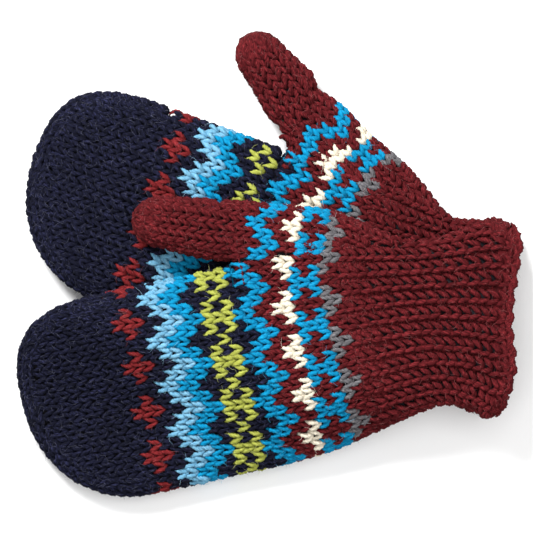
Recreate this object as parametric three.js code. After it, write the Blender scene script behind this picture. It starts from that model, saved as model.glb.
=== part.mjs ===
// A pair of knitted wool mittens with a fleece lining, lying flat: the left one palm down on the
// surface, the right one palm up and partly on top of it. Millimetres, +Z up.
// A mitten is worked out in its own coordinates first: s runs from the cuff's end to the fingertips,
// v runs across towards the thumb, and w is the height above the middle of the hand's thickness.
import * as THREE from 'three';

// Length along the hand
const LENGTH = 254;
const CUFF_START = 3;
const WELT_END = 10;
const CUFF_END = 64;
const WRIST_END = 95;
const SPLIT = 134;
const KNUCKLES = 155;
const SKY_END = 185;
const CROWN_START = 200;
const CROWN_ROUND = 197;
const LINING_START = 10.5;

// Wall of the mitten, counted inwards from its outside
const KNIT = 3.8;
const FLEECE_OUT = 5;
const FLEECE_IN = 7;
const GAP = 0.3;

// Cross sections
const HALF_THICK = 12;
const EDGE_ROUNDNESS = 2.4;
const GUSSET_SQUARENESS = 1.6;
const GUSSET_EXTRA = 33;
const FLATTENING = 1.08;
const CROWN_ROUNDNESS = 2.4;
const CROWN_SKEW = 9;
const TIP_HEIGHT = 0.55;

// Half width of the hand without its thumb, at each distance from the cuff's end
const HALF_WIDTH = [
  [3, 46], [8, 47.5], [14, 47.8], [27, 44], [42, 41.2], [52, 41.2], [66, 43.5], [80, 46.2],
  [95, 48.8], [110, 50.8], [134, 52], [160, 52], [200, 52.4], [254, 52.4],
];
// Outer edge of the wrist and the thumb gusset, measured from the hand's middle line
const THUMB_EDGE = [
  [3, 46], [8, 47.5], [14, 47.8], [27, 44], [42, 41.8], [50, 44.5], [58, 50], [66, 56], [77, 64],
  [90, 70.5], [108, 77], [120, 81], [134, 85],
];

// Thumb, measured from where it leaves the hand
const THUMB_LENGTH = 47.5;
const THUMB_DOME = 33;
const THUMB_TIP_START = 31;
const THUMB_TURN = 12;
const THUMB_HALF_WIDTH = [[0, 15.6], [12, 15], [24, 14], [33, 13], [48, 13]];

// How the pair lies
const REST_HEIGHT = 24.5;
const DRAPE_REACH = 60;
const DRAPE_INSIDE = 2;

const LEFT = {
  name: 'left',
  x: 119.15, y: -36.14, turn: 160,
  thumbTurn: 33, thumbSeam: 55.6, thumbSlim: 0.93, gussetReach: 1.1,
  cuffSide: [[0, 8], [50, 6.5], [85, 1], [105, 0], [254, 0]],
  cuffTurn: -12, onTop: false,
};
const RIGHT = {
  name: 'right',
  x: 125.95, y: -20.12, turn: 192.5,
  thumbTurn: 21, thumbSeam: 52.8, thumbSlim: 1, gussetReach: 1,
  cuffSide: [[0, -4], [25, -0.5], [50, 1.7], [85, 1], [105, 0], [254, 0]],
  cuffTurn: 12.5, onTop: true,
};

// Outline resolution
const ROUND = 20;
const STATION = 12;
const DOME_STEPS = 5;
const RIM = 1;
const BORE = 0.5;

const YARN = {
  burgundy: 0x67191d,
  navy: 0x1b1d30,
  sky: 0x70a8ca,
  turquoise: 0x1393c2,
  lime: 0xa9b04e,
  red: 0x7c2a2e,
  fleece: 0x2a2c33,
};

const radians = THREE.MathUtils.degToRad;
const { clamp, lerp, smoothstep } = THREE.MathUtils;

// A smooth value from a list of [distance, value] pairs
function along(list, s) {
  const curve = list.findIndex(([at]) => at > s);
  if (curve === -1) return list[list.length - 1][1];
  if (curve === 0) return list[0][1];
  const [s0, a] = list[curve - 1];
  const [s1, b] = list[curve];
  const before = list[Math.max(curve - 2, 0)];
  const after = list[Math.min(curve + 1, list.length - 1)];
  const span = s1 - s0;
  const slopeIn = span * (b - before[1]) / (s1 - before[0]);
  const slopeOut = span * (after[1] - a) / (after[0] - s0);
  const t = (s - s0) / span;
  const u = 1 - t;
  return a * u * u * (1 + 2 * t) + slopeIn * t * u * u + b * t * t * (3 - 2 * t) - slopeOut * t * t * u;
}

const power = (x, n) => Math.sign(x) * Math.abs(x) ** n;

// From a mitten's own plan coordinates to the pair's
function place(mitten, s, v) {
  const tip = radians(mitten.turn);
  const thumb = tip - Math.PI / 2;
  return new THREE.Vector2(
    mitten.x + s * Math.cos(tip) + v * Math.cos(thumb),
    mitten.y + s * Math.sin(tip) + v * Math.sin(thumb),
  );
}

// Height of what lies under the top mitten: the left one's thickness, sloping to the table beside it
function underHeight(point) {
  const tip = radians(LEFT.turn);
  const dx = point.x - LEFT.x;
  const dy = point.y - LEFT.y;
  const s = clamp(dx * Math.cos(tip) + dy * Math.sin(tip), 0, CROWN_ROUND);
  const v = dx * Math.sin(tip) - dy * Math.cos(tip);
  const inside = v - along(LEFT.cuffSide, s) + along(HALF_WIDTH, s);
  return REST_HEIGHT * smoothstep(inside, -DRAPE_REACH, DRAPE_INSIDE);
}

function settle(mitten, point, height) {
  const lift = mitten.onTop ? underHeight(point) : 0;
  return new THREE.Vector3(point.x, point.y, height + lift);
}

// A point of the hand's wall: angle runs round the section from the thumb's side, and inset is the
// depth below the mitten's outside
function handPoint(mitten, s, angle, inset) {
  const c = Math.cos(angle);
  const d = Math.sin(angle);
  let round = 1;
  let shift = 0;
  if (s > CROWN_ROUND) {
    const t = Math.min((s - CROWN_ROUND) / (LENGTH - inset - CROWN_ROUND), 1);
    round = (1 - t ** CROWN_ROUNDNESS) ** (1 / CROWN_ROUNDNESS);
    shift = CROWN_SKEW * t * t;
  }
  const plain = along(HALF_WIDTH, s);
  const extra = s < SPLIT + GAP / 2 ? along(THUMB_EDGE, s) - plain : 0;
  const reach = plain + extra * lerp(1, mitten.gussetReach, smoothstep(s, WRIST_END, SPLIT));
  const squareness = EDGE_ROUNDNESS + (c > 0 ? GUSSET_SQUARENESS * extra / GUSSET_EXTRA : 0);
  const across = ((c > 0 ? reach : plain) - inset) * round * power(c, 2 / squareness);
  const thick = (HALF_THICK - inset) * round;
  const up = thick * clamp(FLATTENING * power(d, 2 / squareness), -1, 1);
  const middle = HALF_THICK * lerp(TIP_HEIGHT, 1, round);
  const lean = Math.tan(radians(mitten.cuffTurn)) * (1 - smoothstep(s, 0, CUFF_END));
  const side = along(mitten.cuffSide, s) + shift + across;
  return settle(mitten, place(mitten, s - lean * across, side), middle + up);
}

// The same for the thumb, with s counted from where it leaves the hand
function thumbPoint(mitten, s, angle, inset) {
  const c = Math.cos(angle);
  const d = Math.sin(angle);
  let round = 1;
  if (s > THUMB_DOME) {
    const t = Math.min((s - THUMB_DOME) / (THUMB_LENGTH - inset - THUMB_DOME), 1);
    round = Math.sqrt(1 - t * t);
  }
  const half = along(THUMB_HALF_WIDTH, s) * mitten.thumbSlim - inset;
  const across = half * round * power(c, 2 / EDGE_ROUNDNESS);
  const thick = (HALF_THICK - inset) * round;
  const up = thick * clamp(FLATTENING * power(d, 2 / EDGE_ROUNDNESS), -1, 1);
  const middle = HALF_THICK * lerp(TIP_HEIGHT, 1, round);
  const turn = radians(mitten.thumbTurn);
  const ring = turn * smoothstep(s, 0, THUMB_TURN);
  const seam = mitten.thumbSeam + along(THUMB_HALF_WIDTH, 0) * mitten.thumbSlim;
  const point = place(
    mitten,
    SPLIT + GAP + s * Math.cos(turn) - across * Math.sin(ring),
    seam + s * Math.sin(turn) + across * Math.cos(ring),
  );
  return settle(mitten, point, middle + up);
}

// Bends a straight blank round (radius RIM outside and BORE inside, its length along z) into a wall
// between two depths. Where the blank meets its own axis, the wall closes at the tip of the limb.
function bend(blank, mitten, limb, depths) {
  const [outer, inner] = depths;
  const position = blank.getAttribute('position');
  for (let i = 0; i < position.count; i += 1) {
    const x = position.getX(i);
    const y = position.getY(i);
    const s = position.getZ(i);
    const radius = Math.hypot(x, y);
    let inset = radius > (RIM + BORE) / 2 ? outer : inner;
    if (radius < BORE / 2) inset = limb.length - s;
    const point = limb.pointAt(mitten, s, Math.atan2(-y, x), inset);
    position.setXYZ(i, point.x, point.y, point.z);
  }
  blank.computeVertexNormals();
  return blank;
}

function circle(radius) {
  const turn = (i) => (2 * Math.PI * i) / ROUND;
  return Array.from({ length: ROUND }, (_, i) => (
    new THREE.Vector2(radius * Math.cos(turn(i)), radius * Math.sin(turn(i)))
  ));
}

function sleeve(from, to) {
  const outline = new THREE.Shape(circle(RIM));
  outline.holes.push(new THREE.Path(circle(BORE)));
  const steps = Math.ceil((to - from) / STATION);
  const options = { depth: to - from, steps, bevelEnabled: false };
  return new THREE.ExtrudeGeometry(outline, options).translate(0, 0, from);
}

// Its profile runs from the inside of the tip down to the rim and back up to the outside of the tip
function cap(from, limb, depths) {
  const wall = (radius, depth) => {
    const round = limb.length - depth - limb.roundFrom;
    const straight = Math.max(limb.roundFrom - from, 0);
    const steps = Math.ceil(straight / STATION);
    const points = [new THREE.Vector2(radius, from)];
    for (let i = 1; i < steps; i += 1) points.push(new THREE.Vector2(radius, from + straight * (i / steps)));
    for (let i = 0; i < DOME_STEPS; i += 1) {
      const s = limb.roundFrom + round * Math.sin((Math.PI / 2) * (i / DOME_STEPS));
      if (s > from + 1) points.push(new THREE.Vector2(radius, s));
    }
    points.push(new THREE.Vector2(0, limb.length - depth));
    return points;
  };
  const [outer, inner] = depths;
  const profile = [...wall(BORE, inner).reverse(), ...wall(RIM, outer)];
  const upright = new THREE.Matrix4().set(0, 0, 1, 0, 1, 0, 0, 0, 0, 1, 0, 0, 0, 0, 0, 1);
  return new THREE.LatheGeometry(profile, ROUND).applyMatrix4(upright);
}

const HAND = { pointAt: handPoint, length: LENGTH, roundFrom: CROWN_ROUND };
const THUMB = { pointAt: thumbPoint, length: THUMB_LENGTH, roundFrom: THUMB_DOME };
const KNIT_WALL = [0, KNIT];
const FLEECE_WALL = [FLEECE_OUT, FLEECE_IN];

// Each piece: its name, its limb, its wall, its colour, where it starts and, unless it closes the
// limb's tip, where it ends
const KNITTING = [
  ['cuff_edge', HAND, KNIT_WALL, 'burgundy', CUFF_START, WELT_END],
  ['ribbed_cuff', HAND, KNIT_WALL, 'burgundy', WELT_END + GAP, CUFF_END],
  ['wrist_band', HAND, KNIT_WALL, 'burgundy', CUFF_END + GAP, WRIST_END],
  ['gusset_band', HAND, KNIT_WALL, 'turquoise', WRIST_END + GAP, SPLIT],
  ['lime_band', HAND, KNIT_WALL, 'lime', SPLIT + GAP, KNUCKLES],
  ['sky_band', HAND, KNIT_WALL, 'sky', KNUCKLES + GAP, SKY_END],
  ['red_motif_band', HAND, KNIT_WALL, 'red', SKY_END + GAP, CROWN_START],
  ['navy_crown', HAND, KNIT_WALL, 'navy', CROWN_START + GAP],
  ['thumb', THUMB, KNIT_WALL, 'burgundy', 0, THUMB_TIP_START],
  ['thumb_tip', THUMB, KNIT_WALL, 'burgundy', THUMB_TIP_START + GAP],
];
const LINING = [
  ['cuff_lining', HAND, FLEECE_WALL, 'fleece', LINING_START, CUFF_END],
  ['palm_lining', HAND, FLEECE_WALL, 'fleece', CUFF_END + GAP, SPLIT],
  ['knuckle_lining', HAND, FLEECE_WALL, 'fleece', SPLIT + GAP, KNUCKLES],
  ['finger_lining', HAND, FLEECE_WALL, 'fleece', KNUCKLES + GAP],
  ['thumb_lining', THUMB, FLEECE_WALL, 'fleece', 0],
];

const group = new THREE.Group();
for (const mitten of [LEFT, RIGHT]) {
  for (const [name, limb, depths, colour, from, to] of [...KNITTING, ...LINING]) {
    const blank = to === undefined ? cap(from, limb, depths) : sleeve(from, to);
    const wool = new THREE.MeshStandardMaterial({ color: YARN[colour], roughness: 0.95, metalness: 0 });
    const mesh = new THREE.Mesh(bend(blank, mitten, limb, depths), wool);
    mesh.name = `${mitten.name}_${name}`;
    group.add(mesh);
  }
}

export default group;
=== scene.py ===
import math

import bmesh
import bpy
import numpy as np
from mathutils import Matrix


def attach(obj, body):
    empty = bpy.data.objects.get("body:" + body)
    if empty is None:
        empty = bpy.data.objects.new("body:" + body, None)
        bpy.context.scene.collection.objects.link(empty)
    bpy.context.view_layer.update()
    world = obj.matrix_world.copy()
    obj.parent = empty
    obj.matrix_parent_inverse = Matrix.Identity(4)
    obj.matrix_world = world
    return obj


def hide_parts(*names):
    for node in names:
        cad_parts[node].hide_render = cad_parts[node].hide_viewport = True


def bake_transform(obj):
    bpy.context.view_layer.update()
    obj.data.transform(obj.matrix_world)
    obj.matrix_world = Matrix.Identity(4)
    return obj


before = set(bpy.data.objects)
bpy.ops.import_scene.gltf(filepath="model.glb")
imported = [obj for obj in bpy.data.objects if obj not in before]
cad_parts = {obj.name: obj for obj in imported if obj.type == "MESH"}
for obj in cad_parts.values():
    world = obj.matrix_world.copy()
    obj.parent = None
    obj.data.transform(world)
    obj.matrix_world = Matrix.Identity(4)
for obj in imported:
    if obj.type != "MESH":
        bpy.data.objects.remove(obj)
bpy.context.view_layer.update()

# Camera and light
# A long lens straight above the pair, as for a flat lay on a table. A small soft box stands beyond
# the pair on the left and a wide one hangs over it, in a white studio. Sizes are in metres.
FRAME_WIDTH = 0.2665
CAMERA_AT = (-0.00025, 0.00025, 3.0)
MID_HEIGHT = 0.03
SENSOR_WIDTH = 36
LAMP_AIM = (0, 0, 0.02)
ROOM_LIGHT = 0.5

camera = bpy.data.objects.new("camera", bpy.data.cameras.new("camera"))
camera.data.sensor_width = SENSOR_WIDTH
camera.data.lens = SENSOR_WIDTH * (CAMERA_AT[2] - MID_HEIGHT) / FRAME_WIDTH
camera.data.clip_end = 20
camera.location = CAMERA_AT
bpy.context.scene.collection.objects.link(camera)
bpy.context.scene.camera = camera


def soft_box(name, stands_at, size, power):
    lamp = bpy.data.lights.new(name, "AREA")
    lamp.size = size
    lamp.energy = power
    box = bpy.data.objects.new(name, lamp)
    box.location = stands_at
    aim = np.subtract(LAMP_AIM, stands_at)
    box.rotation_euler = (
        math.atan2(math.hypot(aim[0], aim[1]), -aim[2]),
        0,
        math.atan2(aim[1], aim[0]) - math.pi / 2,
    )
    bpy.context.scene.collection.objects.link(box)


soft_box("key_softbox", (-0.45, 0.8, 1.1), size=0.45, power=30)
soft_box("top_softbox", (0.25, -0.1, 1.5), size=1.2, power=16)

world = bpy.data.worlds.new("studio")
bpy.context.scene.world = world
world.use_nodes = True
world.node_tree.nodes["Background"].inputs["Color"].default_value = (1, 1, 1, 1)
world.node_tree.nodes["Background"].inputs["Strength"].default_value = ROOM_LIGHT
bpy.context.scene.view_settings.view_transform = "Standard"

# Floor
# A flat board under the pair, rolled with matt white emulsion. The paint gives the eye an even pale
# ground without any shine, on which the shadows stay soft.
FLOOR_HALF = 3


def linear(hex_colour):
    """An sRGB hex colour as the linear one that a shader takes."""
    channels = [int(hex_colour[i : i + 2], 16) / 255 for i in (1, 3, 5)]
    light = [c / 12.92 if c <= 0.04045 else ((c + 0.055) / 1.055) ** 2.4 for c in channels]
    return (*light, 1)


floor_mesh = bmesh.new()
bmesh.ops.create_grid(floor_mesh, x_segments=1, y_segments=1, size=FLOOR_HALF)
floor_data = bpy.data.meshes.new("floor")
floor_mesh.to_mesh(floor_data)
floor_mesh.free()
floor = bpy.data.objects.new("floor", floor_data)
bpy.context.scene.collection.objects.link(floor)
floor_paint = bpy.data.materials.new("white_matt_board")
floor_paint.use_nodes = True
floor_shader = floor_paint.node_tree.nodes["Principled BSDF"]
floor_shader.inputs["Base Color"].default_value = linear("#f4f4f4")
floor_shader.inputs["Roughness"].default_value = 0.9
floor_data.materials.append(floor_paint)

# The shape of each mitten
# Wool knitted in the round from the cuff to the fingertips and laid flat: a wide flattened tube with
# a rounded end, a gusset that widens it for the thumb, and a small tube for the thumb itself. Sizes
# are in millimetres, from the cuff's end to the fingertips and from the middle towards the thumb.
MM = 0.001
LENGTH = 254
CUFF_START = 3
CUFF_END = 64
SPLIT = 134
CROWN_ROUND = 197
HALF_THICK = 12
EDGE_ROUNDNESS = 2.4
GUSSET_SQUARENESS = 1.6
GUSSET_EXTRA = 33
FLATTENING = 1.08
CROWN_ROUNDNESS = 2.4
CROWN_SKEW = 9
TIP_HEIGHT = 0.55
GAP = 0.3
WRIST_END = 95

# The half width of the hand, and the edge on the thumb's side where the gusset widens it.
HALF_WIDTH = [
    (3, 46), (8, 47.5), (14, 47.8), (27, 44), (42, 41.2), (52, 41.2), (66, 43.5), (80, 46.2),
    (95, 48.8), (110, 50.8), (134, 52), (160, 52), (200, 52.4), (254, 52.4),
]
THUMB_EDGE = [
    (3, 46), (8, 47.5), (14, 47.8), (27, 44), (42, 41.8), (50, 44.5), (58, 50), (66, 56),
    (77, 64), (90, 70.5), (108, 77), (120, 81), (134, 85),
]
GUSSET_FULL = 116
GUSSET_EASES = 118
GUSSET_EASED = 0.35
MOUTH_WAVE = (2, 32)

THUMB_LENGTH = 47.5
THUMB_DOME = 33
THUMB_BASE = (4, 26)
THUMB_TURN = 12
THUMB_HALF_WIDTH = [(0, 15.6), (12, 15), (24, 14), (33, 13), (48, 13)]

# The right mitten rests on the left one and drapes down off its edge.
REST_HEIGHT = 24.5
DRAPE_REACH = 60
DRAPE_INSIDE = 2

# Where each mitten lies and what is its own: the lean of its cuff, the wave of its mouth, the slant
# of its rows towards the thumb, its gauge, and the drift of its wales, which the yarn's twist pulls.
LEFT = {
    "side": "left",
    "at": (119.15, -36.14),
    "turn": 160,
    "thumb_turn": 31.5,
    "thumb_seam": 57.1,
    "thumb_slim": 0.98,
    "thumb_base": 1.08,
    "gusset_reach": 1.1,
    "cuff_side": [(0, 8), (50, 6.5), (85, 1), (105, 0), (254, 0)],
    "cuff_turn": -12,
    "mouth": [(-50, -3), (-42, 0), (42, 0), (50, -3)],
    "on_top": False,
    "slant": 0.62,
    "slant_from": 53,
    "row_zero": 197.2,
    "row_step": 4.76,
    "gusset_phase": 3,
    "drift": [(3, -0.6), (60, -0.6), (90, -0.6), (115, -0.55), (145, -0.25), (190, 0), (254, 0)],
}
RIGHT = {
    "side": "right",
    "at": (125.95, -20.12),
    "turn": 192.5,
    "thumb_turn": 21,
    "thumb_seam": 52.8,
    "thumb_slim": 1,
    "thumb_base": 1,
    "gusset_reach": 1,
    "cuff_side": [(0, -4), (25, -0.5), (50, 1.7), (85, 1), (105, 0), (254, 0)],
    "cuff_turn": 12.5,
    "mouth": [
        (-47, -9), (-41, -5.3), (-32, -2.3), (-24, -0.9), (-17, -1.5), (-9, -2.6), (-2, -2.6),
        (9, -1.9), (20, 0), (29, 1.5), (38, 2.3), (43, -2.5), (48, -8),
    ],
    "on_top": True,
    "slant": 0.5,
    "slant_from": 38,
    "row_zero": 202.5,
    "row_step": 5,
    "gusset_phase": 1,
    "drift": [
        (3, -3.5), (30, -2.6), (60, -1.8), (90, -1.6), (116, -1.45), (148, -1.05), (190, 0), (254, 0),
    ],
}
PAIR = (LEFT, RIGHT)


def row_at(mitten, row):
    return mitten["row_zero"] - mitten["row_step"] * row


def row_of(mitten, s):
    return (mitten["row_zero"] - s) / mitten["row_step"]


def smooth(x, low, high):
    t = np.clip((x - low) / (high - low), 0, 1)
    return t * t * (3 - 2 * t)


def power(x, exponent):
    return np.sign(x) * np.abs(x) ** exponent


def along(stops, s):
    """A smooth curve through the stops, which are places and sizes."""
    at = np.array([stop[0] for stop in stops], float)
    size = np.array([stop[1] for stop in stops], float)
    s = np.clip(s, at[0], at[-1])
    right = np.clip(np.searchsorted(at, s, side="right"), 1, len(at) - 1)
    left = right - 1
    before = np.maximum(left - 1, 0)
    after = np.minimum(right + 1, len(at) - 1)
    span = at[right] - at[left]
    slope_in = span * (size[right] - size[before]) / (at[right] - at[before])
    slope_out = span * (size[after] - size[left]) / (at[after] - at[left])
    t = (s - at[left]) / span
    u = 1 - t
    ends = size[left] * u * u * (1 + 2 * t) + size[right] * t * t * (3 - 2 * t)
    return ends + slope_in * t * u * u - slope_out * t * t * u


def place(mitten, s, v):
    tip = math.radians(mitten["turn"])
    thumb = tip - math.pi / 2
    x = mitten["at"][0] + s * math.cos(tip) + v * math.cos(thumb)
    y = mitten["at"][1] + s * math.sin(tip) + v * math.sin(thumb)
    return x, y


def settle(mitten, s, v, height):
    """Points of a mitten in the scene, lifted where the mitten lies over the other one."""
    x, y = place(mitten, s, v)
    if mitten["on_top"]:
        tip = math.radians(LEFT["turn"])
        from_x = x - LEFT["at"][0]
        from_y = y - LEFT["at"][1]
        under_s = np.clip(from_x * math.cos(tip) + from_y * math.sin(tip), 0, CROWN_ROUND)
        under_v = from_x * math.sin(tip) - from_y * math.cos(tip)
        inside = under_v - along(LEFT["cuff_side"], under_s) + along(HALF_WIDTH, under_s)
        height = height + REST_HEIGHT * smooth(inside, -DRAPE_REACH, DRAPE_INSIDE)
    return np.stack(np.broadcast_arrays(x, y, height), -1)


def crown(s, inset=0):
    """How full the hand still is, from 1 to 0 at the fingertips, and how far it leans sideways."""
    t = np.clip((s - CROWN_ROUND) / (LENGTH - inset - CROWN_ROUND), 0, 1)
    return (1 - t**CROWN_ROUNDNESS) ** (1 / CROWN_ROUNDNESS), CROWN_SKEW * t * t


def mid_height(bulge):
    return HALF_THICK * (TIP_HEIGHT + (1 - TIP_HEIGHT) * bulge)


def hand_widths(mitten, s, inset=0):
    plain = along(HALF_WIDTH, s)
    extra = np.where(s < SPLIT + GAP / 2, along(THUMB_EDGE, s) - plain, 0)
    eased = 1 - GUSSET_EASED * smooth(s, GUSSET_EASES, SPLIT)
    fuller = smooth(s, WRIST_END, GUSSET_FULL) * eased
    reach = plain + extra * (1 + (mitten["gusset_reach"] - 1) * fuller)
    return plain - inset, reach - inset, extra


def hand_section(mitten, s, turn, inset=0):
    """Across and up from the middle of the flattened tube, at a turn round it."""
    out = np.sin(turn)
    plain, reach, extra = hand_widths(mitten, s, inset)
    bulge = crown(s, inset)[0]
    squareness = EDGE_ROUNDNESS + np.where(out > 0, GUSSET_SQUARENESS * extra / GUSSET_EXTRA, 0)
    across = np.where(out > 0, reach, plain) * bulge * power(out, 2 / squareness)
    rise = np.clip(FLATTENING * power(np.cos(turn), 2 / squareness), -1, 1)
    return across, (HALF_THICK - inset) * bulge * rise


def hand_point(mitten, s, turn, inset=0):
    across, up = hand_section(mitten, s, turn, inset)
    bulge, shift = crown(s, inset)
    lean = math.tan(math.radians(mitten["cuff_turn"])) * (1 - smooth(s, 0, CUFF_END))
    side = along(mitten["cuff_side"], s) + shift + across
    wave = along(mitten["mouth"], across) * (1 - smooth(s, *MOUTH_WAVE))
    return settle(mitten, s - lean * across - wave, side, mid_height(bulge) + up)


def thumb_bulge(s, inset=0):
    t = np.clip((s - THUMB_DOME) / (THUMB_LENGTH - inset - THUMB_DOME), 0, 1)
    return np.sqrt(1 - t * t)


def thumb_section(mitten, s, turn, inset=0):
    bulge = thumb_bulge(s, inset)
    wider = 1 + (mitten["thumb_base"] - 1) * (1 - smooth(s, *THUMB_BASE))
    half = along(THUMB_HALF_WIDTH, s) * mitten["thumb_slim"] * wider - inset
    across = half * bulge * power(np.sin(turn), 2 / EDGE_ROUNDNESS)
    rise = np.clip(FLATTENING * power(np.cos(turn), 2 / EDGE_ROUNDNESS), -1, 1)
    return across, (HALF_THICK - inset) * bulge * rise


def thumb_point(mitten, s, turn, inset=0):
    across, up = thumb_section(mitten, s, turn, inset)
    lie = math.radians(mitten["thumb_turn"])
    ring = lie * smooth(s, 0, THUMB_TURN)
    root_half = THUMB_HALF_WIDTH[0][1] * mitten["thumb_slim"] * mitten["thumb_base"]
    forward = SPLIT + GAP + s * math.cos(lie) - across * np.sin(ring)
    side = mitten["thumb_seam"] + root_half + s * math.sin(lie) + across * np.cos(ring)
    return settle(mitten, forward, side, mid_height(thumb_bulge(s, inset)) + up)


# The yarn
# Two-ply wool, about 2.8 mm thick where it fills a stitch. Every stitch is one loop of it: up the
# left leg, round behind and down the right leg, so that the two legs show as a V.
WALES = 40
STRAND_RADIUS = 1.36
STRAND_CORNERS = 8
PLY_TURN = 0.62
GUSSET_PITCH = 5.6
SLANT_STARTS = (50, 85)
SLANT_ENDS = (114, 141)

# The legs of a stitch, from its foot to its head: across and along in stitches, out of the fabric
# in millimetres, and the thickness of the strand.
LOOP = np.array([
    (-0.02, -0.62, -1.9, 0.62),
    (-0.10, -0.46, -0.75, 0.90),
    (-0.19, -0.20, 0.10, 1.03),
    (-0.29, 0.10, 0.30, 1.03),
    (-0.38, 0.40, 0.00, 0.90),
    (-0.45, 0.66, -0.80, 0.66),
    (-0.40, 0.86, -2.00, 0.48),
])

# Turns round a tube, from the palm's middle past the back to the palm's middle, closer together at
# the folds.
QUARTER_STEPS = 60
QUARTER = np.linspace(0, 1, QUARTER_STEPS + 1)[:-1]
EASED = (QUARTER - np.sin(2 * math.pi * QUARTER) / (2 * math.pi)) * math.pi / 2
TURNS = np.concatenate([EASED + quarter * math.pi / 2 for quarter in range(-2, 2)] + [[math.pi]])
BACK_MIDDLE = 2 * QUARTER_STEPS
THUMB_FOLD = 3 * QUARTER_STEPS

# No two stitches are alike: each leans, swells and sits a little differently.
LEAN_SPREAD = 0.035
THICKNESS_SPREAD = 0.045
PLACE_SPREAD = 0.13
LOWEST_YARN = 1.3
rng = np.random.default_rng(7)

strand = bpy.data.curves.new("two_ply_strand", "CURVE")
strand.dimensions = "2D"
outline = strand.splines.new("POLY")
outline.points.add(STRAND_CORNERS - 1)
for corner, spot in enumerate(outline.points):
    round_it = corner / STRAND_CORNERS * 2 * math.pi
    thick = STRAND_RADIUS * MM * (0.93 + 0.13 * math.cos(2 * round_it))
    spot.co = (thick * math.cos(round_it), thick * math.sin(round_it), 0, 1)
outline.use_cyclic_u = True
strand_object = bpy.data.objects.new("two_ply_strand", strand)
bpy.context.scene.collection.objects.link(strand_object)


def grid(rows, wales):
    rows, wales = np.meshgrid(rows, wales, indexing="ij")
    return rows.ravel(), wales.ravel()


def girth(section, mitten, s):
    """How far round a tube each of the turns lies, from the middle of its back."""
    x, z = section(mitten, s[:, None], TURNS[None, :])
    step = np.hypot(np.diff(x, axis=1), np.diff(z, axis=1))
    arc = np.concatenate([np.zeros((len(s), 1)), np.cumsum(step, axis=1)], axis=1)
    return arc - arc[:, [BACK_MIDDLE]]


def turn_at(arc, wanted):
    return np.array([np.interp(a, row, TURNS) for row, a in zip(arc, wanted)])


def hand_girth(mitten, s):
    """The girth of the hand, and the width of a wale on the side away from the thumb."""
    arc = girth(hand_section, mitten, s)
    return arc, -arc[:, 0] / (WALES / 2)


def gusset_room(mitten, s):
    """Half of the space that the wales of the back and the palm leave open at the thumb's side."""
    arc, pitch = hand_girth(mitten, s)
    return (arc[:, -1] - (WALES / 2 - 1) * pitch) / 2


def row_drop(mitten, first, across):
    """How far the rows slant towards the thumb."""
    drop = mitten["slant"] * np.maximum(across - mitten["slant_from"], 0)
    return drop * smooth(first, *SLANT_STARTS)


def drifted_wale(mitten, row, wale):
    """The wales lean a little off the mitten's length, as the twist of the yarn pulls the fabric."""
    drifted = wale + along(mitten["drift"], row_at(mitten, row))
    return (drifted + WALES / 2) % WALES - WALES / 2


def hand_lattice(mitten, row, wale):
    """Where the stitches of the hand sit: the wales of the back, then those of the palm."""
    first = row_at(mitten, row)
    s = first
    drifted = drifted_wale(mitten, row, wale)
    for _ in range(2):
        arc, pitch = hand_girth(mitten, s)
        palm = arc[:, -1] - (WALES / 2 - drifted) * pitch
        wanted = np.where(drifted <= WALES / 4, drifted * pitch, palm)
        turn = turn_at(arc, wanted)
        across = hand_section(mitten, s, turn)[0]
        s = first - row_drop(mitten, first, across) * (1 - smooth(first, *SLANT_ENDS))
    return hand_point(mitten, s, turn), s


def gusset_lattice(mitten, row, wale):
    """Where the stitches of the gusset sit, counted from the fold on the thumb's side."""
    first = row_at(mitten, row)
    s = np.minimum(first, SPLIT)
    for _ in range(6):
        arc = girth(hand_section, mitten, s)
        turn = turn_at(arc, arc[:, THUMB_FOLD] + wale * GUSSET_PITCH)
        across = hand_section(mitten, s, turn)[0]
        s = 0.5 * s + 0.5 * np.minimum(first - row_drop(mitten, first, across), SPLIT)
    return hand_point(mitten, s, turn), s


def frames(lattice, mitten, row, wale, reach=0.3):
    """A cell for each stitch: its place, its own directions, its width and its height."""
    row = np.asarray(row, float)
    wale = np.asarray(wale, float)
    middle, s = lattice(mitten, row, wale)
    up = lattice(mitten, row - reach, wale)[0] - lattice(mitten, row + reach, wale)[0]
    side = lattice(mitten, row, wale + reach)[0] - lattice(mitten, row, wale - reach)[0]
    height = np.linalg.norm(up, axis=1) / (2 * reach)
    width = np.linalg.norm(side, axis=1) / (2 * reach)
    up = up / np.linalg.norm(up, axis=1)[:, None]
    face = np.cross(side, up)
    face = face / np.linalg.norm(face, axis=1)[:, None]
    side = np.cross(up, face)
    return {"at": middle, "up": up, "side": side, "face": face, "w": width, "h": height, "s": s}


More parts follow.
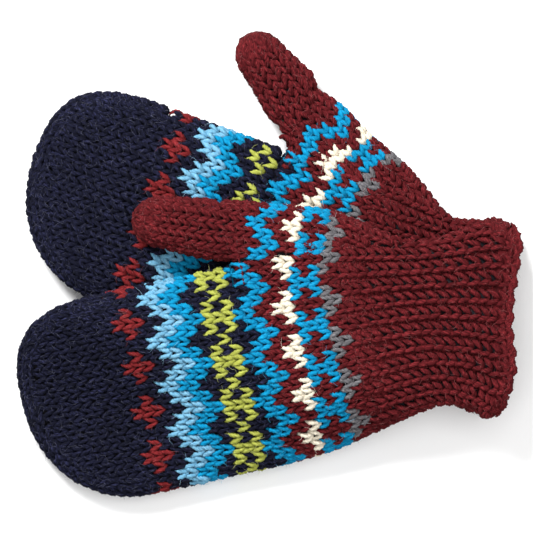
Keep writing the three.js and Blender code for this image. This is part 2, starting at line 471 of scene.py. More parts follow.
def loops(cells, loop=LOOP, sunk=1.35, thick=1.0, tilted=0.0):
    """The points, thicknesses and twist of one yarn loop for each cell."""
    path = np.concatenate([loop, loop[::-1] * (-1, 1, 1, 1)])
    count = len(cells["at"])
    lean = rng.normal(0, LEAN_SPREAD, (count, 1)) - tilted
    fat = 1 + rng.normal(0, THICKNESS_SPREAD, (count, 1))
    shift = rng.normal(0, PLACE_SPREAD, (count, 3))
    w = cells["w"][:, None]
    h = cells["h"][:, None]
    x = path[None, :, 0] * w + shift[:, [0]]
    y = path[None, :, 1] * h + shift[:, [1]]
    x, y = x - lean * y, y + lean * x
    z = path[None, :, 2] - np.reshape(sunk, (-1, 1)) + shift[:, [2]] * 0.8
    points = (
        cells["at"][:, None, :]
        + x[..., None] * cells["side"][:, None, :]
        + y[..., None] * cells["up"][:, None, :]
        + z[..., None] * cells["face"][:, None, :]
    )
    points[..., 2] = np.maximum(points[..., 2], LOWEST_YARN)
    step = np.linalg.norm(np.diff(points, axis=1), axis=2)
    run = np.concatenate([np.zeros((count, 1)), np.cumsum(step, axis=1)], axis=1)
    twist = run * PLY_TURN + rng.uniform(0, math.pi, (count, 1))
    return {
        "path": points * MM,
        "fat": path[None, :, 3] * fat * thick,
        "twist": twist,
        "face": cells["face"],
    }


# Fibre ends 0.11 mm thick, four times a real one, which would be too fine to show.
FIBRES = 2
FIBRE_RADIUS = 0.055
FIBRE_REACH = (1.2, 2.8)
FIBRE_LIFT = (0.5, 1.0)
FIBRE_CURL = 1.1
FIRST_BEND = 2
LAST_BEND = 4
LOWEST_FIBRE = 0.1
STEEPEST_FACE = 0.35
FIBRE_TAPER = (1.0, 1.0, 0.8, 0.35)


def tubes(name, paths, fats, twists, section):
    """A mesh of round or two-ply threads, one along each path."""
    curve = bpy.data.curves.new(name, "CURVE")
    curve.dimensions = "3D"
    curve.use_fill_caps = True
    if section:
        curve.bevel_mode = "OBJECT"
        curve.bevel_object = section
    else:
        curve.bevel_depth = FIBRE_RADIUS * MM
        curve.bevel_resolution = 0
    for path, fat, turn in zip(paths, fats, twists):
        spline = curve.splines.new("POLY")
        spline.points.add(len(path) - 1)
        spline.points.foreach_set("co", np.column_stack([path, np.ones(len(path))]).ravel())
        spline.points.foreach_set("radius", fat)
        spline.points.foreach_set("tilt", turn)
    source = bpy.data.objects.new(name, curve)
    bpy.context.scene.collection.objects.link(source)
    bpy.context.view_layer.update()
    graph = bpy.context.evaluated_depsgraph_get()
    mesh = bpy.data.meshes.new_from_object(source.evaluated_get(graph))
    bpy.data.objects.remove(source)
    bpy.data.curves.remove(curve)
    return mesh


def stray_fibres(bundle):
    """Loose fibre ends that lift off the legs of each stitch and lie over it in every direction."""
    seen = np.abs(bundle["face"][:, 2]) > STEEPEST_FACE
    paths = bundle["path"][seen]
    face = bundle["face"][seen]
    count = len(paths)
    out = []
    for _ in range(FIBRES):
        leg = rng.integers(FIRST_BEND, LAST_BEND + 1, count)
        leg = np.where(rng.random(count) < 0.5, leg, paths.shape[1] - 1 - leg)
        root = paths[np.arange(count), leg]
        way = rng.normal(0, 1, (count, 3))
        way = way - (way * face).sum(1, keepdims=True) * face
        way = way / np.linalg.norm(way, axis=1, keepdims=True)
        bend = np.cross(face, way) * rng.normal(0, FIBRE_CURL, (count, 1))
        size = rng.uniform(*FIBRE_REACH, (count, 1)) * MM
        lift = rng.uniform(*FIBRE_LIFT, (count, 1)) * MM
        out.append(np.stack([
            root + face * 0.5 * MM,
            root + face * (1.25 * MM) + way * size * 0.5,
            root + face * (0.7 * MM + lift) + way * size + bend * size * 0.3,
            root + face * (0.5 * MM + lift) + way * size * 1.5 + bend * size * 0.9,
        ], axis=1))
    fibres = np.concatenate(out)
    fibres[..., 2] = np.maximum(fibres[..., 2], LOWEST_FIBRE * MM)
    return fibres


FIBRE_OF = {}


def wind(name, bundles, material):
    """One piece of yarn from its loops, with its loose fibres, as a mesh."""
    yarn = bmesh.new()
    for bundle in bundles:
        thread = tubes(name, bundle["path"], bundle["fat"], bundle["twist"], strand_object)
        yarn.from_mesh(thread)
        fibres = stray_fibres(bundle)
        taper = np.broadcast_to(FIBRE_TAPER, (len(fibres), 4))
        fuzz = tubes(name, fibres, taper, np.zeros((len(fibres), 4)), None)
        fuzz.polygons.foreach_set("material_index", np.ones(len(fuzz.polygons), np.int32))
        yarn.from_mesh(fuzz)
        bpy.data.meshes.remove(thread)
        bpy.data.meshes.remove(fuzz)
    mesh = bpy.data.meshes.new(name)
    yarn.to_mesh(mesh)
    yarn.free()
    mesh.shade_smooth()
    mesh.materials.append(material)
    mesh.materials.append(FIBRE_OF[material.name])
    piece = bpy.data.objects.new(name, mesh)
    bpy.context.scene.collection.objects.link(piece)
    return piece


def node(tree, kind, settings=None, **inputs):
    """Adds a node. An input is given by its name, or as n0, n1 by its number."""
    made = tree.nodes.new(kind)
    for key, value in (settings or {}).items():
        setattr(made, key, value)
    for key, value in inputs.items():
        numbered = key[0] == "n" and key[1:].isdigit()
        socket = made.inputs[int(key[1:]) if numbered else key.replace("_", " ")]
        if isinstance(value, bpy.types.NodeSocket):
            tree.links.new(value, socket)
        else:
            socket.default_value = value
    return made


# A wool fibre is 0.03 mm thick, too fine to show, so tufts of about 0.6 by 2 mm are drawn on the
# strand: its map runs once along a loop of some 19 mm and once round its girth of 8.5 mm. Heathered
# patches come 17 to 100 mm, and the loose ends change colour every 2.5 mm.
TUFTS = (6.0, 9.0, 1.0)
TUFT_SCALE = 1.6
TUFT_WANDER = 60.0
TUFT_DEPTH = 0.4
HEATHER_PATCH = 100 / 17
LOOSE_PATCH = 2.5


def wool(name, deep_and_groove_shade, body, bright_and_painted_highlight, stray=None, sheen=0.1):
    """Spun and plied wool, lightly felted. It gives the eye a dull thread with no gloss, heathered
    from light to dark, with painted shade in the low grooves of its tufts and a painted highlight on
    their tops, and with lighter loose fibres lying over a darker core."""
    material = bpy.data.materials.new(name)
    material.use_nodes = True
    tree = material.node_tree
    shader = tree.nodes["Principled BSDF"]
    spot = node(tree, "ShaderNodeTexCoord").outputs["Object"]
    lay = node(tree, "ShaderNodeUVMap").outputs["UV"]
    tufts = node(tree, "ShaderNodeVectorMath", {"operation": "MULTIPLY"}, n0=lay, n1=TUFTS)
    wander = node(tree, "ShaderNodeVectorMath", {"operation": "SCALE"}, n0=spot, Scale=TUFT_WANDER)
    strand_at = node(
        tree, "ShaderNodeVectorMath", {"operation": "ADD"}, n0=tufts.outputs[0], n1=wander.outputs[0]
    )
    fibre = node(
        tree, "ShaderNodeTexNoise",
        Vector=strand_at.outputs[0], Scale=TUFT_SCALE, Detail=4.0, Roughness=0.7,
    )
    heather = node(
        tree, "ShaderNodeTexNoise", Vector=spot, Scale=1 / (HEATHER_PATCH * MM), Detail=2.0
    )
    # The ramp reads the same noise as the bump. Besides the wool's own tone, it paints shade into the
    # low grooves of the tufts and a highlight on their raised tops.
    ramp = node(tree, "ShaderNodeValToRGB", Fac=fibre.outputs["Fac"])
    ramp.color_ramp.elements[0].position = 0.32
    ramp.color_ramp.elements[0].color = linear(deep_and_groove_shade)
    ramp.color_ramp.elements[1].position = 0.72
    ramp.color_ramp.elements[1].color = linear(bright_and_painted_highlight)
    middle = ramp.color_ramp.elements.new(0.52)
    middle.color = linear(body)
    shade = node(
        tree, "ShaderNodeMapRange",
        Value=heather.outputs["Fac"], From_Min=0.3, From_Max=0.7, To_Min=0.86, To_Max=1.12,
    )
    tint = node(
        tree, "ShaderNodeVectorMath", {"operation": "SCALE"},
        n0=ramp.outputs["Color"], Scale=shade.outputs["Result"],
    )
    tree.links.new(tint.outputs["Vector"], shader.inputs["Base Color"])
    bump = node(
        tree, "ShaderNodeBump",
        Height=fibre.outputs["Fac"], Strength=0.8, Distance=TUFT_DEPTH * MM,
    )
    tree.links.new(bump.outputs["Normal"], shader.inputs["Normal"])
    shader.inputs["Roughness"].default_value = 0.95
    shader.inputs["Specular IOR Level"].default_value = 0.1
    shader.inputs["Sheen Weight"].default_value = sheen
    shader.inputs["Sheen Roughness"].default_value = 0.6
    shader.inputs["Sheen Tint"].default_value = linear(bright_and_painted_highlight)
    if stray:
        loose = bpy.data.materials.new(name + "_fibre")
        loose.use_nodes = True
        fibre_tree = loose.node_tree
        fibre_shader = fibre_tree.nodes["Principled BSDF"]
        where = node(fibre_tree, "ShaderNodeTexCoord").outputs["Object"]
        patch = node(fibre_tree, "ShaderNodeTexNoise", Vector=where, Scale=1 / (LOOSE_PATCH * MM))
        blend = node(fibre_tree, "ShaderNodeValToRGB", Fac=patch.outputs["Fac"])
        blend.color_ramp.elements[0].position = 0.35
        blend.color_ramp.elements[0].color = linear(body)
        blend.color_ramp.elements[1].position = 0.65
        blend.color_ramp.elements[1].color = linear(stray)
        fibre_tree.links.new(blend.outputs["Color"], fibre_shader.inputs["Base Color"])
        fibre_shader.inputs["Roughness"].default_value = 0.6
        FIBRE_OF[material.name] = loose
    return material


# Each yarn's colour with painted shade in the grooves of the strand, on its body, with a painted
# highlight on its crown, and in its loose ends.
YARNS = {
    "burgundy": (wool("burgundy_wool", "#2a070a", "#4e1216", "#8c3034", "#9a5050"), "burgundy_wool"),
    "navy": (wool("navy_wool", "#07080f", "#0e0f1c", "#34365a", "#54566e"), "navy_wool"),
    "red": (wool("red_wool", "#4a1013", "#681b1e", "#9c3a3c", "#a45654"), "red_wool"),
    "sky_blue": (wool("sky_blue_wool", "#487c9e", "#679eba", "#90bfd6", "#accfe0"), "sky_blue_wool"),
    "turquoise": (wool("turquoise_wool", "#045f8a", "#067ea8", "#1e9ac8", "#44acd2"), "turquoise_wool"),
    "lime": (wool("lime_wool", "#7e842e", "#999e46", "#bac066", "#ccd084"), "lime_wool"),
    "cream": (wool("cream_wool", "#b9b09c", "#d9d0bd", "#eee5d4", "#f4eee0"), "cream_wool"),
    "grey": (wool("grey_wool", "#3c3b3d", "#5f5d60", "#8f8d90", "#a8a6a9"), "grey_wool"),
}

# The chart
# What colour each stitch is knitted in, by its row from the fingertips. A row's three colours come
# in the order A B C B, ten times round.
N, U, R, S, T, L, W, G = "navy", "burgundy", "red", "sky_blue", "turquoise", "lime", "cream", "grey"
CHART = {
    1: (R, N, N), 2: (R, R, N), 3: (R, N, N), 4: (N, N, S), 5: (N, S, S), 6: (S, S, T),
    7: (S, T, T), 8: (T, T, N), 9: (T, N, N), 10: (L, L, N), 11: (L, N, L), 12: (L, L, N),
    13: (T, N, N), 14: (T, T, N), 15: (U, T, T), 16: (U, U, T), 17: (W, U, U), 18: (W, W, U),
    19: (U, T, T), 20: (U, U, T), 21: (U, T, T), 22: (G, G, U), 23: (G, U, U),
}
BANDS = {
    "red_motif_band": (1, 3), "sky_band": (4, 9), "lime_band": (10, 13), "gusset_band": (14, 21),
    "wrist_band": (22, 23),
}
LEFT_CHART = {**CHART, 10: (N, N, L), 11: (N, L, N), 12: (N, N, L)}


def colour_at(mitten, row, wale):
    chart = LEFT_CHART if mitten["side"] == "left" else CHART
    return chart.get(row, (U, U, U))[(2, 1, 0, 1)[wale % 4]]


def keep_cells(cells, keep):
    return {key: value[keep] for key, value in cells.items()}


def join_cells(parts):
    return {key: np.concatenate([part[key] for part in parts]) for key in parts[0]}


# The height of the spots that rides() works out along a mitten.
BEND_HEIGHT = 0.03


def rides(mitten, piece, part):
    """Ties a piece to its body, or leaves it fixed in place with none."""
    side = mitten["side"]

    def spot(s, v=0.0):
        x, y = place(mitten, s, v)
        return (x * MM, y * MM, BEND_HEIGHT)

    if part == "thumb":
        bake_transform(piece)
    elif side == "left":
        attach(piece, "left_hand")
    elif part == "edge":
        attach(piece, "right_cuff")
    elif part == "cuff":
        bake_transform(piece)
    elif part == "fingers":
        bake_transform(piece)
    elif part == "tip":
        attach(piece, "right_fingers")
    else:
        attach(piece, "right_hand")


def knit(mitten, name, bundles, colour, replaced, part):
    """Winds one colour's loops as a piece, in place of its CAD node, and ties it to its body."""
    material, slot_name = YARNS[colour]
    piece = wind(f"{mitten['side']}_{name}", bundles, material)
    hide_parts(f"{mitten['side']}_{replaced}")
    rides(mitten, piece, part)


# The coloured bands
# Wrist, gusset, lime, sky and red motif bands in wool, each knitted in the round with the resting
# colours carried behind. One piece is all the yarn of one colour in one band. Some colours are spun
# a little thicker than the others and fill their stitches more.
WALE_NUMBERS = np.arange(-WALES // 2, WALES // 2)
WIDEST_STITCH = 6.2
TALLEST_STITCH = 6.5
FOLD_CLEAR = 0.5
FORK_CLEAR = 2.5
PLUMP = {"cream": 1.16, "turquoise": 1.06, "sky_blue": 1.08, "lime": 1.04}
PART_OF_BAND = {
    "wrist_band": "cuff", "gusset_band": "hand", "lime_band": "fingers", "sky_band": "fingers",
    "red_motif_band": "tip",
}


def fold_distance(mitten, rows, wales):
    """How many wales away the fold on the thumb's side is, where the hand's wales leave a gap."""
    return np.abs(drifted_wale(mitten, rows, wales) - WALES / 4)


def knit_colours(mitten, name, band, cells, colours):
    for colour in sorted(set(colours)):
        share = keep_cells(cells, np.array([c == colour for c in colours]))
        bundle = loops(share, thick=PLUMP.get(colour, 1.0))
        knit(mitten, f"{name}_{colour}", [bundle], colour, band, PART_OF_BAND[band])


for mitten in PAIR:
    for band, (first_row, last_row) in BANDS.items():
        rows, wales = grid(np.arange(first_row, last_row + 1), WALE_NUMBERS)
        above_fork = row_at(mitten, rows) > SPLIT + FORK_CLEAR
        keep = above_fork | (fold_distance(mitten, rows, wales) >= FOLD_CLEAR)
        rows = rows[keep]
        wales = wales[keep]
        cells = frames(hand_lattice, mitten, rows, wales)
        cells["w"] = np.minimum(cells["w"], WIDEST_STITCH)
        cells["h"] = np.minimum(cells["h"], TALLEST_STITCH)
        colours = [colour_at(mitten, row, wale) for row, wale in zip(rows, wales)]
        knit_colours(mitten, band, band, cells, colours)

# The thumb gusset
# Extra wales of the same wool fill in between the back and the palm of the hand and run up into the
# thumb, with rows slanted to lie square across it. Navy isn't carried into them, and burgundy takes
# its place.
GUSSET_ROWS = np.arange(9, 24)
GUSSET_WALES = np.arange(-7, 8)
PLAIN_UNTIL = 12
EDGE_WALE_ROOM = 0.35
GUSSET_STOP = SPLIT - 0.8
for mitten in PAIR:
    rows, wales = grid(GUSSET_ROWS, GUSSET_WALES)
    cells = frames(gusset_lattice, mitten, rows, wales)
    open_to = gusset_room(mitten, cells["s"]) + EDGE_WALE_ROOM * GUSSET_PITCH
    room = (np.abs(wales) * GUSSET_PITCH <= open_to) | (wales == 0)
    room = room & (cells["s"] < GUSSET_STOP)
    colours = []
    for row, wale in zip(rows, wales + mitten["gusset_phase"]):
        colour = colour_at(mitten, row, wale) if row > PLAIN_UNTIL else U
        colours.append(U if colour == N else colour)
    for band, low, high in (("gusset_band", WRIST_END, SPLIT), ("wrist_band", 0, WRIST_END)):
        inside = room & (cells["s"] > low) & (cells["s"] <= high)
        here = keep_cells(cells, inside)
        kept = [colour for colour, keep in zip(colours, inside) if keep]
        knit_colours(mitten, f"{band}_thumb_side", band, here, kept)

# The web between thumb and fingers
# A few stitches of burgundy wool picked up across the fork, so that the mitten is closed between its
# two tubes.
WEB_ROWS = np.arange(4) - 1.5
WEB_WALES = np.arange(5) - 2.0
WEB_PITCH = 4.6
WEB_STEP = 4.8
WEB_AT = SPLIT + 0.6


def web_lattice(mitten, row, wale):
    side = (along(HALF_WIDTH, SPLIT) + mitten["thumb_seam"]) / 2 - wale * WEB_PITCH
    forward = np.full(len(side), WEB_AT)
    return settle(mitten, forward, side, HALF_THICK - WEB_STEP * row), side


for mitten in PAIR:
    cells = frames(web_lattice, mitten, *grid(WEB_ROWS, WEB_WALES))
    bundle = loops(cells, thick=1.1)
    knit(mitten, "gusset_band_web", [bundle], "burgundy", "gusset_band", "hand")

# The ribbed cuff and its edge
# One knit wale, one purl wale in burgundy wool: the knit ones stand up as rounded ribs, which flatten
# out over the wrist, and the purl ones sink between them. A fan of extra ribs fills in below the
# gusset. The edge is cast on over a chain that lies sideways round the mouth.
PURL = np.array([
    (-0.50, -0.25, -1.60, 0.70),
    (-0.28, 0.00, -0.40, 0.90),
    (-0.10, 0.16, 0.10, 0.95),
    (0.00, 0.18, 0.15, 0.95),
])
RIB = np.array([
    (-0.02, -0.56, -1.90, 0.62),
    (-0.09, -0.40, -0.55, 0.94),
    (-0.17, -0.18, 0.25, 1.10),
    (-0.25, 0.08, 0.35, 1.12),
    (-0.32, 0.34, -0.15, 1.00),
    (-0.38, 0.58, -1.10, 0.76),
    (-0.37, 0.76, -2.20, 0.50),
])
RIB_WALES = 48
RIB_NUMBERS = np.arange(-RIB_WALES // 2, RIB_WALES // 2)
RIB_PITCH = WALES / RIB_WALES
RIB_TILT = 0.16
FIRST_RIB_ROW = 24
LAST_RIB = 5.5
WIDEST_RIB = 6
RIB_FOLD_CLEAR = 0.45
RIB_FADE = 0.7
FADE_START = 62
FADE_END = 84
KNIT_WIDENED = 0.85
KNIT_SUNK = 1.4
KNIT_RAISED = 0.3
PURL_SUNK = 1.35
PURL_LOWERED = 3.2
FAN_ROWS = np.arange(FIRST_RIB_ROW, 32)
FAN_NUMBERS = np.arange(-8, 9)
FAN_PITCH = 4.3
FAN_START = 50
FAN_OVERLAP = 2
FAN_SPARE = 0.3
FAN_KNIT_WIDENED = 1.7
FAN_KNIT_SUNK = 1.3
CHAIN_AT = 5.6
CHAIN_WIDTH = 5.4
RIM_WIDTH = 3.8
RIM_OVERLAP = 1.15
RIM_IN = 2.4
RIM_SCALLOP = (1.0, -0.4)
EDGE_END = 10
CUFF_PARTS = (
    ("wrist_band", CUFF_END, LENGTH, "cuff"),
    ("ribbed_cuff", EDGE_END, CUFF_END, "cuff"),
    ("cuff_edge", -math.inf, EDGE_END, "edge"),
)


def rib_cells(mitten):
    """The knit and the purl stitches of the ribs. A purl stitch shows two bars, half a row apart."""
    last_row = int(row_of(mitten, LAST_RIB))
    rows, number = grid(np.arange(FIRST_RIB_ROW, last_row + 1), RIB_NUMBERS)
    wales = number * RIB_PITCH
    below_fan = row_at(mitten, rows) < FAN_START
    keep = below_fan | (fold_distance(mitten, rows, wales) >= RIB_FOLD_CLEAR)
    cells = keep_cells(frames(hand_lattice, mitten, rows, wales), keep)
    cells["w"] = np.minimum(cells["w"], WIDEST_RIB) * RIB_PITCH
    cells["ribbed"] = 1 - RIB_FADE * smooth(cells["s"], FADE_START, FADE_END)
    is_knit = number[keep] % 2 == 0
    knits = keep_cells(cells, is_knit)
    knits["w"] = knits["w"] * (1 + KNIT_WIDENED * knits["ribbed"])
    purls = keep_cells(cells, ~is_knit)
    half_up = {**purls, "at": purls["at"] + purls["up"] * purls["h"][:, None] / 2}
    return knits, join_cells([purls, half_up])


def fan_cells(mitten):
    """The knit and the purl stitches of the fan below the gusset."""
    rows, number = grid(FAN_ROWS, FAN_NUMBERS)
    fan = frames(gusset_lattice, mitten, rows, number * FAN_PITCH / GUSSET_PITCH)
    fan["w"] = fan["w"] * FAN_PITCH / GUSSET_PITCH
    open_to = gusset_room(mitten, fan["s"]) + FAN_SPARE
    room = (np.abs(number) * FAN_PITCH <= open_to) | (number == 0)
    room = room & (fan["s"] > FAN_START - FAN_OVERLAP)
    knits = keep_cells(fan, room & (number % 2 == 0))
    knits["w"] = knits["w"] * FAN_KNIT_WIDENED
    return knits, keep_cells(fan, room & (number % 2 == 1))


def cast_on_chain(mitten):
    """The loops of the chain, each turned to lie along the edge."""
    edge_rows = np.full(RIB_WALES, row_of(mitten, CHAIN_AT))
    chain = frames(hand_lattice, mitten, edge_rows, RIB_NUMBERS * RIB_PITCH)
    sideways = {
        **chain,
        "up": chain["side"],
        "side": -chain["up"],
        "w": np.full(RIB_WALES, CHAIN_WIDTH),
        "h": chain["w"] * RIB_PITCH,
    }
    return loops(sideways, sunk=1.4, thick=1.05)


def scalloped_rim(mitten):
    """The chain's outer loops, facing out of the mouth, drawn in at every other wale."""
    rim_rows = np.full(RIB_WALES, row_of(mitten, CUFF_START))
    rim = frames(hand_lattice, mitten, rim_rows, RIB_NUMBERS * RIB_PITCH)
    scallop = np.where(np.arange(RIB_WALES) % 2 == 0, *RIM_SCALLOP)[:, None]
    outward = {
        **rim,
        "at": rim["at"] - RIM_IN * rim["face"] - scallop * rim["up"],
        "up": rim["side"],
        "face": -rim["up"],
        "side": -rim["face"],
        "w": np.full(RIB_WALES, RIM_WIDTH),
        "h": rim["w"] * RIB_PITCH * RIM_OVERLAP,
    }
    return loops(outward, sunk=1.0, thick=1.25)


for mitten in PAIR:
    knits, purls = rib_cells(mitten)
    fan_knits, fan_purls = fan_cells(mitten)
    knit_sunk = KNIT_SUNK - KNIT_RAISED * knits["ribbed"]
    purl_sunk = PURL_SUNK + PURL_LOWERED * purls["ribbed"]
    knit_loops = loops(knits, loop=RIB, sunk=knit_sunk, thick=1.02, tilted=RIB_TILT)
    purl_loops = loops(purls, loop=PURL, sunk=purl_sunk, thick=1.15)
    fan_knit_loops = loops(fan_knits, loop=RIB, sunk=FAN_KNIT_SUNK, tilted=RIB_TILT)
    fan_purl_loops = loops(fan_purls, loop=PURL, sunk=PURL_LOWERED, thick=1.15)
    groups = (
        (knits, knit_loops), (fan_knits, fan_knit_loops),
        (purls, purl_loops), (fan_purls, fan_purl_loops),
    )
    for node_name, low, high, part in CUFF_PARTS:
        bundles = []
        for cells, made in groups:
            inside = (cells["s"] > low) & (cells["s"] <= high)
            if inside.any():
                bundles.append(keep_cells(made, inside))
        if part == "edge":
            bundles.append(cast_on_chain(mitten))
            bundles.append(scalloped_rim(mitten))
        knit(mitten, f"{node_name}_yarn", bundles, "burgundy", node_name, part)

# The navy crown
# Plain rows of navy wool. The wales stay side by side to the fingertips, and are cut off by a border
# of wales that follow the outline, where the stitches are taken together on each side.
CROWN_JOIN = 200.0
CROWN_ROWS = np.arange(-11, 1)
CROWN_HALF_WIDTH = HALF_WIDTH[-1][1]
BORDER_STEP = 4.9
BORDER_WALE = 5.2
BORDER_WALES = np.arange(-2, 3)
BORDER_START = 0.7
BORDER_DEPTH = 16
BORDER_CLEAR = 6.2
FOLD_STEPS = 720
DEPTH_STEPS = 60

# The fold that the border follows, from the little finger's side over the tips to the thumb's side.
fold = np.linspace(0, math.pi, FOLD_STEPS + 1)
fold_s = CROWN_ROUND + (LENGTH - CROWN_ROUND) * np.sin(fold)
fold_bulge, fold_shift = crown(fold_s)
fold_v = fold_shift + CROWN_HALF_WIDTH * fold_bulge * np.sign(fold - math.pi / 2)
fold_run = np.concatenate([[0], np.cumsum(np.hypot(np.diff(fold_s), np.diff(fold_v)))])


def crown_height(s, v, below):
    bulge, shift = crown(s)
    half = CROWN_HALF_WIDTH * bulge
    ratio = np.clip(np.abs(v - shift) / np.maximum(half, 1e-6), 0, 1) ** EDGE_ROUNDNESS
    rise = np.clip(FLATTENING * (1 - ratio) ** (1 / EDGE_ROUNDNESS), -1, 1)
    return mid_height(bulge) + np.where(below, -1, 1) * HALF_THICK * bulge * rise


def crown_across(mitten, wale):
    """How far across each wale lies as it comes off the hand."""
    join = np.full(len(wale), CROWN_JOIN)
    arc, pitch = hand_girth(mitten, join)
    return hand_section(mitten, join, turn_at(arc, wale * pitch))[0]


def crown_lattice(mitten, row, wale):
    s = row_at(mitten, row)
    v = crown_across(mitten, wale)
    height = crown_height(s, v, np.abs(wale) > WALES / 4)
    return settle(mitten, s, v, height), s


def border_lattice(mitten, row, wale):
    """Where the border's stitches sit: rows along the fold, wales in from it over either side."""
    run = row * BORDER_STEP
    s = np.interp(run, fold_run, fold_s)
    v = np.interp(run, fold_run, fold_v)
    ds = np.interp(run + 1, fold_run, fold_s) - np.interp(run - 1, fold_run, fold_s)
    dv = np.interp(run + 1, fold_run, fold_v) - np.interp(run - 1, fold_run, fold_v)
    size = np.hypot(ds, dv)
    in_s = -dv / size
    in_v = ds / size
    depth = np.linspace(0, 1, DEPTH_STEPS) ** 2 * BORDER_DEPTH
    path_s = s[:, None] + in_s[:, None] * depth
    path_v = v[:, None] + in_v[:, None] * depth
    height = crown_height(path_s, path_v, (wale > 0)[:, None])
    step = np.hypot(np.diff(depth)[None, :], np.diff(height, axis=1))
    arc = np.concatenate([np.zeros((len(s), 1)), np.cumsum(step, axis=1)], axis=1)
    go = np.array([np.interp(abs(w) * BORDER_WALE, a, depth) for w, a in zip(wale, arc)])
    z = np.array([np.interp(d, depth, h) for d, h in zip(go, height)])
    return settle(mitten, s + in_s * go, v + in_v * go, z), s


for mitten in PAIR:
    rows, wales = grid(CROWN_ROWS, WALE_NUMBERS)
    cells = frames(crown_lattice, mitten, rows, wales)
    s = row_at(mitten, rows)
    v = crown_across(mitten, wales)
    clear = np.min(np.hypot(s[:, None] - fold_s, v[:, None] - fold_v), axis=1)
    bulge, shift = crown(s)
    within = np.abs(v - shift) < CROWN_HALF_WIDTH * bulge
    inner = keep_cells(cells, within & (clear > BORDER_CLEAR))
    steps = int(fold_run[-1] / BORDER_STEP)
    border_rows, border_wales = grid(np.arange(steps) + BORDER_START, BORDER_WALES)
    border = frames(border_lattice, mitten, border_rows, border_wales)
    rising = (border_rows * BORDER_STEP < fold_run[-1] / 2)[:, None]
    border["up"] = np.where(rising, -border["up"], border["up"])
    border["side"] = np.where(rising, -border["side"], border["side"])
    knit(mitten, "crown_yarn", [loops(inner)], "navy", "navy_crown", "tip")
    knit(mitten, "crown_border", [loops(border)], "navy", "navy_crown", "tip")

# The thumb and its tip
# A small tube of fourteen wales, all in burgundy wool, picked up from the gusset and drawn together
# at the end.
THUMB_ROW = 4.7
THUMB_ROWS = np.arange(-11, 3) + 0.4
THUMB_WALES = 14
THUMB_NUMBERS = np.arange(-THUMB_WALES // 2, THUMB_WALES // 2)
THUMB_REACH = (-3, THUMB_LENGTH - 0.4)
THUMB_START = -0.5
GUSSET_OVERLAP = 2.4
OVERLAPPING_FROM = -2
THUMB_STOP = THUMB_LENGTH + 1.5
THUMB_TIP = 31
NARROWEST_STITCH = 3.4
SHORTEST_STITCH = 4.2


def thumb_lattice(mitten, row, wale):
    """Where the thumb's stitches sit. Its first rows turn from the hand's way to the thumb's own."""
    lie = math.radians(mitten["thumb_turn"])
    reach = -row * THUMB_ROW
    t = reach
    for _ in range(4):
        held = np.clip(t, *THUMB_REACH)
        arc = girth(thumb_section, mitten, held)
        pitch = (arc[:, -1] - arc[:, 0]) / THUMB_WALES
        turn = turn_at(arc, wale * pitch)
        across = thumb_section(mitten, held, turn)[0]
        t = reach - across * np.sin(lie - lie * smooth(held, 0, THUMB_TURN))
    return thumb_point(mitten, np.clip(t, *THUMB_REACH), turn), t


for mitten in PAIR:
    rows, wales = grid(THUMB_ROWS, THUMB_NUMBERS)
    cells = frames(thumb_lattice, mitten, rows, wales)
    cells["w"] = np.maximum(cells["w"], NARROWEST_STITCH)
    cells["h"] = np.maximum(cells["h"], SHORTEST_STITCH)
    start = THUMB_START - GUSSET_OVERLAP * (wales > OVERLAPPING_FROM)
    keep = (cells["s"] > start) & (cells["s"] < THUMB_STOP)
    tip = cells["s"] > THUMB_TIP
    for part, inside in (("thumb", keep & ~tip), ("thumb_tip", keep & tip)):
        bundle = loops(keep_cells(cells, inside), thick=1.06)
        knit(mitten, f"{part}_yarn", [bundle], "burgundy", part, "thumb")

# The fleece lining
# Fleece sewn to the same outline, a little smaller, with its pile facing the hand. It is brushed
# polyester, near black, and gives the eye a dull dark cloth whose pile glows where it turns away.
LINING_IN = 4.3
LINING_WALL = 2.6
LINING_RING = 3
SEAM_MERGE = 0.01
HAND_SEGMENTS = 72
THUMB_SEGMENTS = 36
LINING_START = 10.5
KNUCKLES = 155
LINING_END = 249.6
LININGS = (
    ("cuff_lining", LINING_START, CUFF_END, "cuff"),
    ("palm_lining", CUFF_END + GAP, SPLIT, "cuff"),
    ("knuckle_lining", SPLIT + GAP, KNUCKLES, "fingers"),
    ("finger_lining", KNUCKLES + GAP, LINING_END, "fingers"),
)
THUMB_LINING_END = THUMB_LENGTH - LINING_IN - 0.05
# It is made the way the wool is, with painted shade in the grooves of its pile and a painted highlight
# on its tips.
fleece = wool("brushed_polyester_fleece", "#131215", "#1e1c20", "#2c2a2f", sheen=0.4)


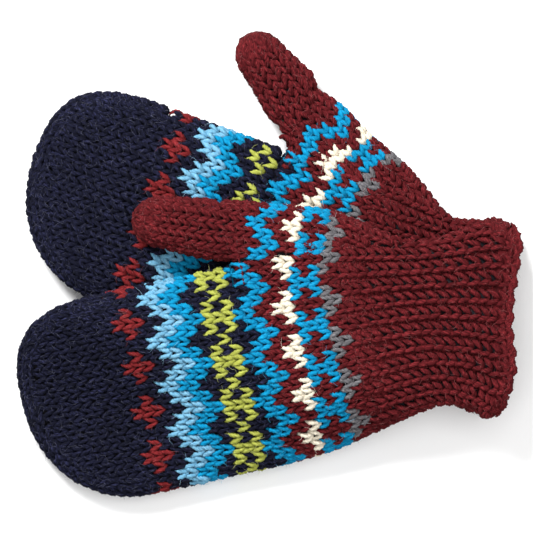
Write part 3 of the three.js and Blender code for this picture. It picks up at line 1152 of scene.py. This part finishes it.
def lining(name, mitten, point, start, end, inset, segments):
    """A tube of cloth inside the knitting, from a grid rolled round and given a wall."""
    sheet = bmesh.new()
    rings = max(3, int((end - start) / LINING_RING))
    bmesh.ops.create_grid(sheet, x_segments=segments, y_segments=rings, size=0.5)
    co = np.array([v.co[:] for v in sheet.verts])
    turn = (co[:, 0] + 0.5) * 2 * math.pi
    s = start + (co[:, 1] + 0.5) * (end - start)
    spots = point(mitten, s, turn, inset) * MM
    for vert, spot in zip(sheet.verts, spots):
        vert.co = spot
    bmesh.ops.remove_doubles(sheet, verts=sheet.verts, dist=SEAM_MERGE * MM)
    bmesh.ops.recalc_face_normals(sheet, faces=sheet.faces)
    mesh = bpy.data.meshes.new(name)
    sheet.to_mesh(mesh)
    sheet.free()
    mesh.shade_smooth()
    mesh.materials.append(fleece)
    piece = bpy.data.objects.new(name, mesh)
    bpy.context.scene.collection.objects.link(piece)
    wall = piece.modifiers.new("wall", "SOLIDIFY")
    wall.thickness = LINING_WALL * MM
    wall.offset = -1
    return piece


for mitten in PAIR:
    for node_name, start, end, part in LININGS:
        name = f"{mitten['side']}_{node_name}"
        piece = lining(name + "_fleece", mitten, hand_point, start, end, LINING_IN, HAND_SEGMENTS)
        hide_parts(name)
        rides(mitten, piece, part)
    name = f"{mitten['side']}_thumb_lining"
    piece = lining(
        name + "_fleece", mitten, thumb_point, 0.0, THUMB_LINING_END, LINING_IN, THUMB_SEGMENTS
    )
    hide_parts(name)
    rides(mitten, piece, "thumb")

# The hem behind the cast-on edge
# The back of the burgundy edge, which shows inside the mouth down to where the fleece is sewn to it.
HEM_START = CUFF_START + 0.6
HEM_END = 12.5
HEM_IN = 2.2
HEM_WALL = 2.0
HEM_SEGMENTS = 96
for mitten in PAIR:
    name = f"{mitten['side']}_cuff_hem"
    piece = lining(name, mitten, hand_point, HEM_START, HEM_END, HEM_IN, HEM_SEGMENTS)
    piece.data.materials[0] = YARNS["burgundy"][0]
    piece.modifiers["wall"].thickness = HEM_WALL * MM
    rides(mitten, piece, "edge")

bpy.data.objects.remove(strand_object)
